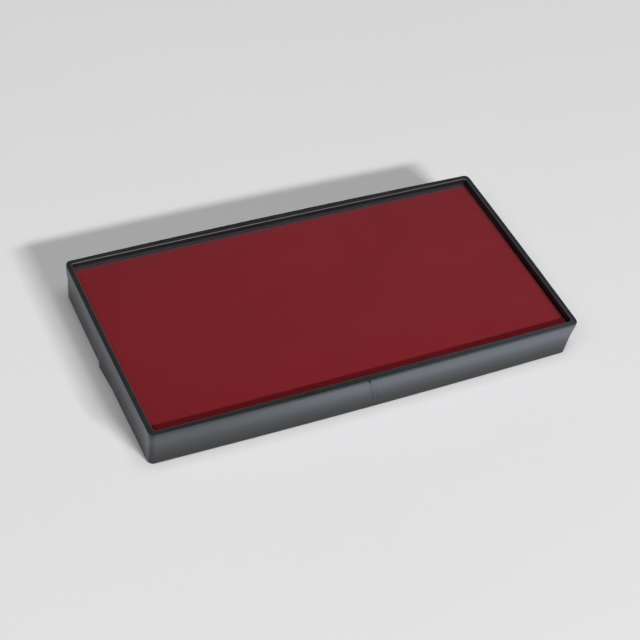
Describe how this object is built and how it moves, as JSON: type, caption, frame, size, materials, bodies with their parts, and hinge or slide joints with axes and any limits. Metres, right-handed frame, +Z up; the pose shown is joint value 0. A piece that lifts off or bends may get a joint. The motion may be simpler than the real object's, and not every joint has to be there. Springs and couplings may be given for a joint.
{
  "type": "ink pad",
  "caption": "Ink pad cassette of a self-inking stamp: a shallow black moulded tray, open on top, with a flat felt pad under red-inked cloth sunk just below its rim.",
  "frame": {"origin": "centre of the underside, on the surface that the tray stands on", "axes": "+X along the tray's length, +Y across it away from the wall with the nick, +Z up out of the pad"},
  "size_m": [0.0822, 0.043, 0.008],
  "materials": {
    "tray_plastic": "black, satin moulded plastic",
    "inked_cloth": "fine woven cloth, damp with red ink",
    "inked_felt": "dense felt soaked with red ink",
    "adhesive": "thin double-sided adhesive sheet"
  },
  "bodies": {
    "root": {"tray": "tray_plastic", "pad_cover": "inked_cloth", "ink_reservoir": "inked_felt", "adhesive_sheet": "adhesive"}
  },
  "joints": []
}
